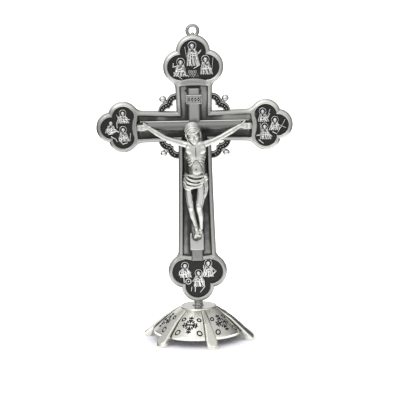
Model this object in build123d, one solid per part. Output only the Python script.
from build123d import *
import os
from math import asin, cos, pi, radians, sin

# Standing altar cross: a cast crucifix with four trefoil ends, screwed into a ribbed, domed base.
# Millimetres, +Z up. The origin is the floor point under the stud, the figure faces -Y, and +X is
# on the right of somebody who looks at the front.

# ---------------------------------------------------------------- driving dimensions
CROSSING_Z = 112.0          # height of the crossing of the arms
FRAME_FRONT = -3.6          # depths, from front to back, along Y
FRAME_BACK = -0.2
FLOOR_Y = -2.0              # floor of the recesses and of the medallion pockets
BEAM_SEAT_Y = -3.0          # halved joint of the two beams
UPRIGHT_FRONT = -4.4
CROSS_BEAM_FRONT = -5.4
RIM = 2.2                   # width of the raised rim round the recesses
BAR_SAG = 1.1               # rise of the curved bars between a recess and a medallion

UPRIGHT_WIDTH = 6.1
UPRIGHT_TOP, UPRIGHT_BOTTOM = 19.9, -70.4   # from the crossing
CROSS_BEAM_HEIGHT = 6.4
CROSS_BEAM_HALF = 28.0
CROSS_BEAM_EDGE = 0.9       # thickness of its arched section at the edges
PLAQUE_WIDTH, PLAQUE_HEIGHT, PLAQUE_THICK = 7.8, 4.7, 1.0
PLAQUE_UP = 14.4            # its middle, above the crossing
FOOT_BLOCK_HALF = 3.55      # half its width
FOOT_BLOCK_TOP, FOOT_BLOCK_BOTTOM = -55.1, -64.3
FOOT_BLOCK_THICK = 2.8
SCOOP_R, SCOOP_DEPTH = 2.35, 1.8

# Each trefoil end: outward direction, place of the tip lobe, place of the side lobes, pocket radius,
# rim radius, start of the medallion pocket and end of the recess, all from the crossing.
TREFOILS = {
    "top": dict(turn=0, tip=38.7, side=(6.7, 30.8), pocket_r=6.6, rim_r=8.7, pocket=24.9, recess=21.4),
    "left": dict(turn=90, tip=42.6, side=(5.4, 36.5), pocket_r=5.6, rim_r=7.7, pocket=31.9, recess=29.3),
    "bottom": dict(turn=180, tip=83.7, side=(6.6, 76.4), pocket_r=6.4, rim_r=8.5, pocket=70.6, recess=68.2),
    "right": dict(turn=-90, tip=42.6, side=(5.4, 36.5), pocket_r=5.6, rim_r=7.7, pocket=31.9, recess=29.3),
}

NIMBUS_CENTRES = ((13.2, 7.3), (8.96, 11.65))   # centres of the two scallops of one quadrant
NIMBUS_OUTER = 5.3
NIMBUS_INNER = 2.0
NIMBUS_LIP = 0.8
NIMBUS_FRONT = -3.0
NIMBUS_TROUGH = -2.2
NIMBUS_SEAT = -1.4          # rebate in the back of the frame
BEAD_R = 0.62
BEAD_PITCH = 1.5
FIRST_BEAD = 24             # angle from the arm's direction to the first bead beside it
BALL_R = 1.8
BALL_PLACE = (16.0, 14.2)

EYE_HOLE_R = 1.95
EYE_OUTER_R = 3.6
EYE_THICK = 2.0
EYE_CENTRE_Z = 161.5
EYE_PEG_R = 0.9
EYE_PEG_DEPTH = 1.5

STUD_R = 2.4                # M5, shown as rings at the thread's pitch
STUD_PITCH = 0.8
THREAD_DEPTH = 0.35
STUD_BOTTOM = 9.3
SPIGOT_R = 1.5
SPIGOT_LENGTH = 8.0
BOSS_R, BOSS_HEIGHT = 2.6, 11.0
RUNNING_GAP = 0.06

DISC_TOP = 17.1
DISC_R = 9.2
DISC_HOLE_R = 2.95
DISC_EDGE = 0.1             # how far the dome stands out past the disc
WALL = 1.7
SKIRT_R, SKIRT_Z = 24.4, 4.1
CONE_MIDDLE = (17.5, 10.6)
BUSH_R = 4.2
BUSH_BOTTOM = 8.5
BUSH_COLLAR_TOP = 16.5
RIB_COUNT = 6
RIB_TURN = 15.0             # first rib, from the front towards +X
FOOT_R, FOOT_CENTRE = 3.0, 26.7
FOOT_TIP = FOOT_CENTRE + FOOT_R
RING_MARK_DEPTH = 0.45

PALM_NAIL = (25.8, 1.2)     # the nails, from the crossing
FEET_NAIL = (0.4, -54.2)
PALM_SEAT, PALM_TIP = -8.1, -3.2
FEET_SEAT, FEET_TIP = -11.0, -5.2
NAIL_HEAD_R, NAIL_SHAFT_R = 0.85, 0.4

# The figure: each limb's joints as (across, depth, height from the crossing, radius).
SHOULDERS = [(-3.4, -8.0, -8.9, 2.6), (4.2, -8.0, -8.7, 2.6)]
TRUNK = [(0.3, -8.2, -11.5, 4.2), (0.7, -8.3, -19.5, 3.5), (0.4, -8.6, -27.0, 4.4)]
NECK = [(0.0, -8.8, -10.0, 2.2), (-0.7, -10.0, -4.0, 2.9)]
SKULL = [(-1.3, -9.9, -1.0, 4.2), (-0.4, -10.9, -4.9, 2.6)]
LEFT_ARM = [(-5.1, -8.0, -8.0, 1.7), (-15.1, -7.6, -4.9, 1.35), (-23.2, -7.0, 0.5, 1.0)]
RIGHT_ARM = [(5.6, -8.0, -7.9, 1.7), (13.5, -7.6, -4.9, 1.4), (22.8, -7.0, 0.6, 1.0)]
LEFT_HAND = [(-23.2, -7.0, 0.5, 1.0), (-27.6, -7.0, 1.0, 1.5)]
RIGHT_HAND = [(22.8, -7.0, 0.6, 1.0), (27.6, -7.0, 1.0, 1.5)]
LEFT_LEG = [(-2.6, -8.7, -28.8, 3.1), (-3.0, -10.2, -41.2, 1.8), (-0.4, -9.3, -51.9, 1.3)]
RIGHT_LEG = [(2.8, -8.8, -28.6, 3.4), (1.2, -10.3, -41.0, 2.1), (2.0, -8.6, -52.4, 1.3)]
LEFT_FOOT = [(-0.4, -9.3, -51.9, 1.3), (0.0, -10.1, -55.8, 1.4)]
RIGHT_FOOT = [(2.0, -8.6, -52.4, 1.3), (1.0, -8.8, -55.4, 1.2)]
CLOTH_TAIL = [(5.0, -8.7, -26.0, 1.9), (5.1, -8.9, -34.6, 1.2)]
FIGURE = [TRUNK, SHOULDERS, NECK, SKULL, LEFT_ARM, RIGHT_ARM, LEFT_HAND, RIGHT_HAND,
          LEFT_LEG, RIGHT_LEG, LEFT_FOOT, RIGHT_FOOT, CLOTH_TAIL]

FRONT_VIEW = Plane(origin=(0, 0, CROSSING_Z), x_dir=(1, 0, 0), z_dir=(0, -1, 0))


# ---------------------------------------------------------------- helpers
def plate(shape, front, back):
    """A flat shape drawn about the crossing, made solid from the depth front to the depth back."""
    return extrude(FRONT_VIEW.offset(-back) * shape, amount=back - front, dir=(0, -1, 0))


def area(*edges):
    """The flat face inside a closed run of edges."""
    return make_face(Curve() + list(edges))


def limb(start, end, start_r, end_r):
    """A tapered limb with round ends: the hull of two spheres, turned about their common axis."""
    start, end = Vector(*start), Vector(*end)
    length = (end - start).length
    lean = asin((start_r - end_r) / length)
    low = Vector(start_r * cos(lean), start_r * sin(lean))
    high = Vector(end_r * cos(lean), length + end_r * sin(lean))
    half = area(
        ThreePointArc((0, -start_r), start_r * Vector(cos(lean / 2 - pi / 4), sin(lean / 2 - pi / 4)), low),
        Line(low, high),
        ThreePointArc(high, (end_r * cos(lean / 2 + pi / 4), length + end_r * sin(lean / 2 + pi / 4)),
                      (0, length + end_r)),
        Line((0, length + end_r), (0, -start_r)),
    )
    return Plane(origin=start, z_dir=end - start) * revolve(Plane.XZ * half, Axis.Z)


def round_about_axis(count, first, piece):
    """Copies of a piece, evenly spaced about the upright axis."""
    return [Rot(0, 0, first + k * 360 / count) * piece for k in range(count)]


# ---------------------------------------------------------------- cross frame
def flared_arm(half_near, half_far, near, far):
    """One arm's outline towards +Y, a little wider at its far end, with gently curved sides."""
    half_middle = half_near * 0.62 + half_far * 0.38
    middle = (near + far) / 2
    return area(
        Line((-half_near, 0), (half_near, 0)),
        Line((half_near, 0), (half_near, near)),
        ThreePointArc((half_near, near), (half_middle, middle), (half_far, far)),
        Line((half_far, far), (-half_far, far)),
        ThreePointArc((-half_far, far), (-half_middle, middle), (-half_near, near)),
        Line((-half_near, near), (-half_near, 0)),
    )


def arms(inset):
    """The cross of four arms, drawn smaller all round by the inset."""
    top = flared_arm(9.1 - inset, 9.9 - inset, 8, 30)
    bottom = Rot(0, 0, 180) * flared_arm(8.45 - inset, 9.9 - inset, 8, 72)
    side = flared_arm(7.7 - inset, 8.5 - inset, 8, 32)
    return top + bottom + Rot(0, 0, 90) * side + Rot(0, 0, -90) * side


def lobes(trefoil, radius):
    """The three round lobes of a trefoil end, pointing towards +Y."""
    across, out = trefoil["side"]
    spread = [(0, trefoil["tip"]), (-across, out), (across, out)]
    heart = Polygon(*spread, align=None)
    return heart + [Pos(*place) * Circle(radius) for place in spread]


def end_cap(half, start, reach):
    """Area outward of a curved bar: its near side is an arc that bulges outward."""
    low = start - BAR_SAG
    return area(
        ThreePointArc((-half, low), (0, start), (half, low)),
        Line((half, low), (half, reach)),
        Line((half, reach), (-half, reach)),
        Line((-half, reach), (-half, low)),
    )


def medallion_area(trefoil):
    """Area of a medallion: the lobes and the space between them, down to the curved bar."""
    across, out = trefoil["side"]
    whole = lobes(trefoil, trefoil["pocket_r"]) + end_cap(across, trefoil["pocket"], out + 2)
    far = trefoil["tip"] + trefoil["rim_r"]
    return Rot(0, 0, trefoil["turn"]) * (whole & end_cap(far, trefoil["pocket"], far))


def recess_area():
    """The cross-shaped recess between the rims, ended by four curved bars."""
    shape = arms(RIM)
    for trefoil in TREFOILS.values():
        half = RIM * 5
        reach = trefoil["tip"] + trefoil["rim_r"]
        shape -= Rot(0, 0, trefoil["turn"]) * end_cap(half, trefoil["recess"], reach)
    return shape


def frame_outline():
    """Outer outline of the frame: the arms and their trefoil ends."""
    shape = arms(0)
    for trefoil in TREFOILS.values():
        shape += Rot(0, 0, trefoil["turn"]) * lobes(trefoil, trefoil["rim_r"])
    return shape


def lobe_end(name):
    """Height of the far edge of the top or bottom lobe."""
    reach = TREFOILS[name]["tip"] + TREFOILS[name]["rim_r"]
    return CROSSING_Z + (reach if name == "top" else -reach)


def cross_frame():
    """The casting: rims, recess floors and the socket for the stud behind the bottom lobe."""
    body = plate(frame_outline(), FRAME_FRONT, FRAME_BACK)
    boss = Pos(0, 0, lobe_end("bottom") + BOSS_HEIGHT / 2) * Cylinder(BOSS_R, BOSS_HEIGHT)
    behind_floor = Pos(0, FLOOR_Y + BOSS_R, lobe_end("bottom") + BOSS_HEIGHT / 2)
    body += boss & behind_floor * Box(2 * BOSS_R, 2 * BOSS_R, BOSS_HEIGHT)
    body -= plate(recess_area(), FRAME_FRONT, FLOOR_Y)
    for trefoil in TREFOILS.values():
        body -= plate(medallion_area(trefoil), FRAME_FRONT, FLOOR_Y)
    body -= plate(nimbus_band(0), NIMBUS_SEAT, FRAME_BACK)
    body -= upright_blank()
    body -= Pos(0, 0, lobe_end("bottom") + SPIGOT_LENGTH / 2) * Cylinder(SPIGOT_R, SPIGOT_LENGTH)
    return body - eye_blank()


# ---------------------------------------------------------------- beams
def upright_blank():
    """The flat upright strip before it is halved into the cross beam."""
    height, middle = UPRIGHT_TOP - UPRIGHT_BOTTOM, (UPRIGHT_TOP + UPRIGHT_BOTTOM) / 2
    shape = Pos(0, middle) * Rectangle(UPRIGHT_WIDTH, height)
    strip = plate(shape, UPRIGHT_FRONT, FLOOR_Y)
    return chamfer(strip.faces().sort_by(Axis.Y)[0].edges(), 0.6)


def cross_beam():
    """The transverse beam: its front is a shallow arch, and its back is halved over the upright."""
    half = CROSS_BEAM_HEIGHT / 2
    edge_y = FLOOR_Y - CROSS_BEAM_EDGE
    low, high = CROSSING_Z - half, CROSSING_Z + half
    section = area(
        Line((FLOOR_Y, low), (FLOOR_Y, high)),
        Line((FLOOR_Y, high), (edge_y, high)),
        ThreePointArc((edge_y, high), (CROSS_BEAM_FRONT, CROSSING_Z), (edge_y, low)),
        Line((edge_y, low), (FLOOR_Y, low)),
    )
    across = Plane(origin=(-CROSS_BEAM_HALF, 0, 0), x_dir=(0, 1, 0), z_dir=(1, 0, 0))
    beam = extrude(across * section, amount=2 * CROSS_BEAM_HALF)
    notch = Rectangle(UPRIGHT_WIDTH, 4 * half)
    return beam - plate(notch, BEAM_SEAT_Y, FLOOR_Y)


def title_plaque():
    """The small tablet above the head, with a plain engraved border."""
    front = UPRIGHT_FRONT - PLAQUE_THICK
    place = Pos(0, PLAQUE_UP)
    margin, line, depth = 1.2, 0.6, 0.25
    body = plate(place * RectangleRounded(PLAQUE_WIDTH, PLAQUE_HEIGHT, 0.4), front, UPRIGHT_FRONT)
    border = Rectangle(PLAQUE_WIDTH - margin, PLAQUE_HEIGHT - margin)
    border -= Rectangle(PLAQUE_WIDTH - margin - line, PLAQUE_HEIGHT - margin - line)
    return body - plate(place * border, front, front + depth)


def foot_block():
    """The support under the feet: a block with a round scoop between two horns."""
    half, top, bottom = FOOT_BLOCK_HALF, FOOT_BLOCK_TOP, FOOT_BLOCK_BOTTOM
    corner, scoop_z = 1.4, FOOT_BLOCK_TOP - SCOOP_DEPTH
    shape = area(
        Line((-half + corner, bottom), (half - corner, bottom)),
        TangentArc((half - corner, bottom), (half, bottom + corner), tangent=(1, 0)),
        Line((half, bottom + corner), (half, top)),
        Line((half, top), (SCOOP_R, top)),
        Line((SCOOP_R, top), (SCOOP_R, scoop_z)),
        ThreePointArc((SCOOP_R, scoop_z), (0, scoop_z - SCOOP_R), (-SCOOP_R, scoop_z)),
        Line((-SCOOP_R, scoop_z), (-SCOOP_R, top)),
        Line((-SCOOP_R, top), (-half, top)),
        Line((-half, top), (-half, bottom + corner)),
        TangentArc((-half, bottom + corner), (-half + corner, bottom), tangent=(0, -1)),
    )
    return plate(shape, UPRIGHT_FRONT - FOOT_BLOCK_THICK, UPRIGHT_FRONT)


# ---------------------------------------------------------------- medallions
def half_length_saint(across, up, size):
    """One figure in low relief: a halo disc, a head and a robed bust, upright whatever the arm."""
    ground = FLOOR_Y - 0.5
    height = CROSSING_Z + up
    halo = plate(Pos(across, up + 0.36 * size) * Circle(0.36 * size), ground - 0.45, ground)
    head = Pos(across, ground - 0.5, height + 0.36 * size) * Sphere(0.19 * size)
    bust = limb((across, ground - 0.2, height - 0.08 * size),
                (across, ground + 0.1, height - 0.62 * size), 0.26 * size, 0.36 * size)
    return halo + head + bust


def medallion(name):
    """A dark panel that fills its pocket, with three half-length saints in relief."""
    trefoil = TREFOILS[name]
    shape = medallion_area(trefoil)
    panel = plate(shape, FLOOR_Y - 0.5, FLOOR_Y)
    size = trefoil["pocket_r"]
    across, out = trefoil["side"]
    turn = radians(trefoil["turn"])
    for u, v in ((0, trefoil["tip"]), (-across, out), (across, out)):
        x, z = u * cos(turn) - v * sin(turn), u * sin(turn) + v * cos(turn)
        panel += half_length_saint(x, z, size)
    return panel & plate(shape, FRAME_FRONT - 0.6, FLOOR_Y)


# ---------------------------------------------------------------- nimbus
def valley_point(radius):
    """Where the two scallops of a quadrant meet, for a line at a radius about their centres."""
    (side_x, side_z), (top_x, top_z) = NIMBUS_CENTRES
    reach = 0.94 * radius - 0.65
    return (side_x + top_x) / 2 + 0.716 * reach, (side_z + top_z) / 2 + 0.698 * reach


def scallops(radius):
    """The area inside the nimbus's scalloped line, at a radius about the scallop centres."""
    (side_x, side_z), (top_x, top_z) = NIMBUS_CENTRES
    valley = valley_point(radius)
    shape = Rectangle(2 * (side_x + radius), 2 * side_z) + Rectangle(2 * top_x, 2 * (top_z + radius))
    for flip_x in (-1, 1):
        for flip_z in (-1, 1):
            corner = [(0, 0), (side_x, side_z), valley, (top_x, top_z)]
            shape += Polygon(*[(flip_x * x, flip_z * z) for x, z in corner], align=None)
            for x, z in NIMBUS_CENTRES:
                shape += Pos(flip_x * x, flip_z * z) * Circle(radius)
    return shape


def nimbus_band(inset):
    """The band of the nimbus, narrower on both edges by the inset."""
    return scallops(NIMBUS_OUTER - inset) - scallops(NIMBUS_INNER + inset)


def nimbus_ring():
    """The scalloped ring behind the crossing, thin where it crosses the back of the arms."""
    shown = plate(nimbus_band(0) - frame_outline(), NIMBUS_FRONT, FRAME_BACK)
    hidden = plate(nimbus_band(0), NIMBUS_SEAT, FRAME_BACK)
    trough = plate(nimbus_band(NIMBUS_LIP) - frame_outline(), NIMBUS_FRONT, NIMBUS_TROUGH)
    return shown + hidden - trough


def bead_places():
    """Centres of the beads in one quadrant's trough: three on each scallop and one in the valley."""
    radius = (NIMBUS_OUTER + NIMBUS_INNER) / 2
    (side_x, side_z), (top_x, top_z) = NIMBUS_CENTRES
    yield valley_point(radius)
    for k in range(3):
        turn = radians(FIRST_BEAD) + k * BEAD_PITCH / radius
        yield side_x + radius * cos(turn), side_z + radius * sin(turn)
        yield top_x + radius * sin(turn), top_z + radius * cos(turn)


def ring_beads():
    """The beads in the trough of the nimbus, as separate solids."""
    seat = NIMBUS_TROUGH - 0.2
    beads = []
    ring = nimbus_ring()
    for flip_x in (-1, 1):
        for flip_z in (-1, 1):
            for x, z in bead_places():
                bead = Pos(flip_x * x, seat, CROSSING_Z + flip_z * z) * Sphere(BEAD_R)
                beads.append(bead - ring)
    return Compound(children=[bead.solid() for bead in beads])


def ring_balls():
    """Four polished balls on short stems in the valleys of the nimbus."""
    middle_y = (NIMBUS_FRONT + FRAME_BACK) / 2
    x, z = BALL_PLACE
    ring = nimbus_ring()
    balls = []
    for flip_x in (-1, 1):
        for flip_z in (-1, 1):
            centre = (flip_x * x, middle_y, CROSSING_Z + flip_z * z)
            root = (flip_x * (x - 2), middle_y, CROSSING_Z + flip_z * (z - 2))
            ball = Pos(*centre) * Sphere(BALL_R) + limb(root, centre, 0.7, 0.7)
            balls.append((ball - ring).solids().sort_by(SortBy.VOLUME)[-1])
    return Compound(children=balls)


# ---------------------------------------------------------------- corpus
def limbs(joints):
    """Tapered limbs, one after another, through joints given from the crossing."""
    spheres = [((x, y, CROSSING_Z + up), radius) for x, y, up, radius in joints]
    return [limb(start, end, start_r, end_r)
            for (start, start_r), (end, end_r) in zip(spheres, spheres[1:])]


def corpus_blank():
    """The figure as simple tapered limbs, before it is fitted to the cross."""
    body, *rest = [piece for joints in FIGURE for piece in limbs(joints)]
    for piece in rest:
        body += piece
    return body


def nail(x, z, seat, tip):
    """A nail with a low round head."""
    shaft = Pos(x, (seat + tip) / 2, z) * Rot(90, 0, 0) * Cylinder(NAIL_SHAFT_R, abs(tip - seat))
    dome = Pos(x, seat, z) * Sphere(NAIL_HEAD_R)
    return shaft + (dome & Pos(x, seat - NAIL_HEAD_R / 2, z) * Box(4, NAIL_HEAD_R, 4))


def palm_nail(side):
    """The nail through one palm into the end of the cross beam."""
    across, up = PALM_NAIL
    return nail(side * across, CROSSING_Z + up, PALM_SEAT, PALM_TIP)


def feet_nail():
    """The nail through the crossed feet into the foot block."""
    across, up = FEET_NAIL
    return nail(across, CROSSING_Z + up, FEET_SEAT, FEET_TIP)


# ---------------------------------------------------------------- hanging eye and stud
def eye_facing():
    """Place of the eye's middle, with its axis along Y."""
    return Pos(0, (FRAME_FRONT + FRAME_BACK) / 2, EYE_CENTRE_Z) * Rot(90, 0, 0)


def eye_blank():
    """The eye before its hole is made: a rounded disc on a short peg let into the top lobe."""
    middle_y = (FRAME_FRONT + FRAME_BACK) / 2
    low = lobe_end("top") - EYE_PEG_DEPTH
    high = EYE_CENTRE_Z - EYE_HOLE_R - 0.4
    disc = fillet(Cylinder(EYE_OUTER_R, EYE_THICK).edges().filter_by(GeomType.CIRCLE), 0.7)
    return eye_facing() * disc + Pos(0, middle_y, (low + high) / 2) * Cylinder(EYE_PEG_R, high - low)


def hanging_eye():
    """The round eye that the cross can hang from."""
    return eye_blank() - eye_facing() * Cylinder(EYE_HOLE_R, EYE_THICK)


def threaded_stud():
    """The screw under the cross, with its thread as rings, and a plain spigot cast into the frame."""
    top = lobe_end("bottom")
    rings = round((top - STUD_BOTTOM) / STUD_PITCH) - 1
    shaft = Pos(0, 0, (top + STUD_BOTTOM) / 2) * Cylinder(STUD_R, top - STUD_BOTTOM)
    groove = revolve(Plane.XZ * Polygon(
        (STUD_R - THREAD_DEPTH, 0), (STUD_R + 0.2, STUD_PITCH / 2), (STUD_R + 0.2, -STUD_PITCH / 2),
        align=None), Axis.Z)
    for k in range(rings):
        shaft -= Pos(0, 0, STUD_BOTTOM + STUD_PITCH * (k + 1)) * groove
    return shaft + Pos(0, 0, top + SPIGOT_LENGTH / 2) * Cylinder(SPIGOT_R, SPIGOT_LENGTH)


# ---------------------------------------------------------------- base
def shell_section():
    """Half section of the dome and its top disc, in X and Z."""
    middle_x, middle_z = CONE_MIDDLE
    inner_x = SKIRT_R - WALL * 1.15
    underside = DISC_TOP - WALL - DISC_EDGE
    inner_middle = (middle_x - WALL * 0.7, middle_z - WALL * 0.76)
    return area(
        Line((DISC_HOLE_R, DISC_TOP), (DISC_R, DISC_TOP)),
        Line((DISC_R, DISC_TOP), (DISC_R + DISC_EDGE, DISC_TOP - 0.7)),
        ThreePointArc((DISC_R + DISC_EDGE, DISC_TOP - 0.7), (middle_x, middle_z), (SKIRT_R, SKIRT_Z)),
        Line((SKIRT_R, SKIRT_Z), (inner_x, SKIRT_Z)),
        ThreePointArc((inner_x, SKIRT_Z), inner_middle, (DISC_R - 0.9, underside)),
        Line((DISC_R - 0.9, underside), (DISC_HOLE_R, underside)),
        Line((DISC_HOLE_R, underside), (DISC_HOLE_R, DISC_TOP)),
    )


def rib():
    """One rib along +X, widening into a rounded foot."""
    side = Polygon((8.6, 16.3), (9.6, 16.6), (18.0, 11.0), (26.8, 3.6), (29.0, 2.1), (FOOT_TIP, 0.9),
                   (FOOT_TIP, 0), (25.3, 0), (24.4, 1.8), (22.2, 5.2), (9.0, 15.4), align=None)
    wide = extrude(Plane.XZ * side, amount=2 * FOOT_R, both=True)
    plan = Polygon((8, -0.5), (17, -1.2), (24, -2.5), (FOOT_CENTRE, -FOOT_R), (FOOT_CENTRE, FOOT_R),
                   (24, 2.5), (17, 1.2), (8, 0.5), align=None)
    tall = extrude(plan + Pos(FOOT_CENTRE, 0) * Circle(FOOT_R), amount=DISC_TOP)
    return wide & tall


def panel_marks():
    """Cutters for one panel's ornament, about the panel's middle along +X: rings and petals."""
    middle_x, middle_z = CONE_MIDDLE
    slope = Plane(origin=(middle_x, 0, middle_z), x_dir=(0, 1, 0), z_dir=(13, 0, 15.2))
    ring_marks = [((2.9, 3.4), 1.2), ((3.6, -3.4), 1.6)]
    marks = Sketch()
    for (across, up), radius in ring_marks:
        for side in (-1, 1):
            marks += Pos(side * across, up) * (Circle(radius) - Circle(radius - 0.45))
    for k in range(4):
        marks += Rot(0, 0, 90 * k) * Pos(0, 1.75) * Ellipse(0.55, 1.15)
    marks += Circle(0.4)
    return extrude(slope.offset(-RING_MARK_DEPTH) * marks, amount=RING_MARK_DEPTH + 1)


def base_shell():
    """The hollow base: dome, top disc, six ribs with feet, and engraved panels."""
    body = revolve(Plane.XZ * shell_section(), Axis.Z)
    for piece in round_about_axis(RIB_COUNT, RIB_TURN - 90, rib()):
        body += piece
    for cutter in round_about_axis(RIB_COUNT, RIB_TURN - 60, panel_marks()):
        body -= cutter
    return body - threaded_bush_blank()


def threaded_bush_blank():
    """The bush before it is bored: a collar through the disc and a wider body under it."""
    seat = DISC_TOP - WALL - DISC_EDGE
    body = Pos(0, 0, (seat + BUSH_BOTTOM) / 2) * Cylinder(BUSH_R, seat - BUSH_BOTTOM)
    collar_height = BUSH_COLLAR_TOP - seat
    return body + Pos(0, 0, seat + collar_height / 2) * Cylinder(DISC_HOLE_R, collar_height)


def threaded_bush():
    """The bush in the middle of the base that takes the stud."""
    bore = Pos(0, 0, DISC_TOP / 2) * Cylinder(STUD_R + RUNNING_GAP, DISC_TOP)
    return threaded_bush_blank() - bore


# ---------------------------------------------------------------- assembly
def upright_beam(beam):
    """The upright strip, halved under the cross beam."""
    return upright_blank() - beam


def build():
    """Every piece by name, each fitted to the ones it touches."""
    beam = cross_beam()
    upright = upright_beam(beam)
    block = foot_block()
    nails = {"left_hand_nail": palm_nail(-1), "right_hand_nail": palm_nail(1), "feet_nail": feet_nail()}
    figure = corpus_blank() - upright - beam - block - title_plaque()
    for piece in nails.values():
        figure -= piece
        beam -= piece
        block -= piece
    pieces = {
        "base_shell": base_shell(),
        "threaded_bush": threaded_bush(),
        "threaded_stud": threaded_stud(),
        "cross_frame": cross_frame(),
        "upright_beam": upright,
        "cross_beam": beam,
        "title_plaque": title_plaque(),
        "foot_block": block,
        "corpus": figure,
        "nimbus_ring": nimbus_ring(),
        "ring_beads": ring_beads(),
        "ring_balls": ring_balls(),
        "hanging_eye": hanging_eye(),
    }
    for name in TREFOILS:
        pieces[name + "_medallion"] = medallion(name)
    return pieces | nails


os.makedirs("parts", exist_ok=True)
for node, piece in build().items():
    piece.label = node
    export_step(piece, f"parts/{node}.step")
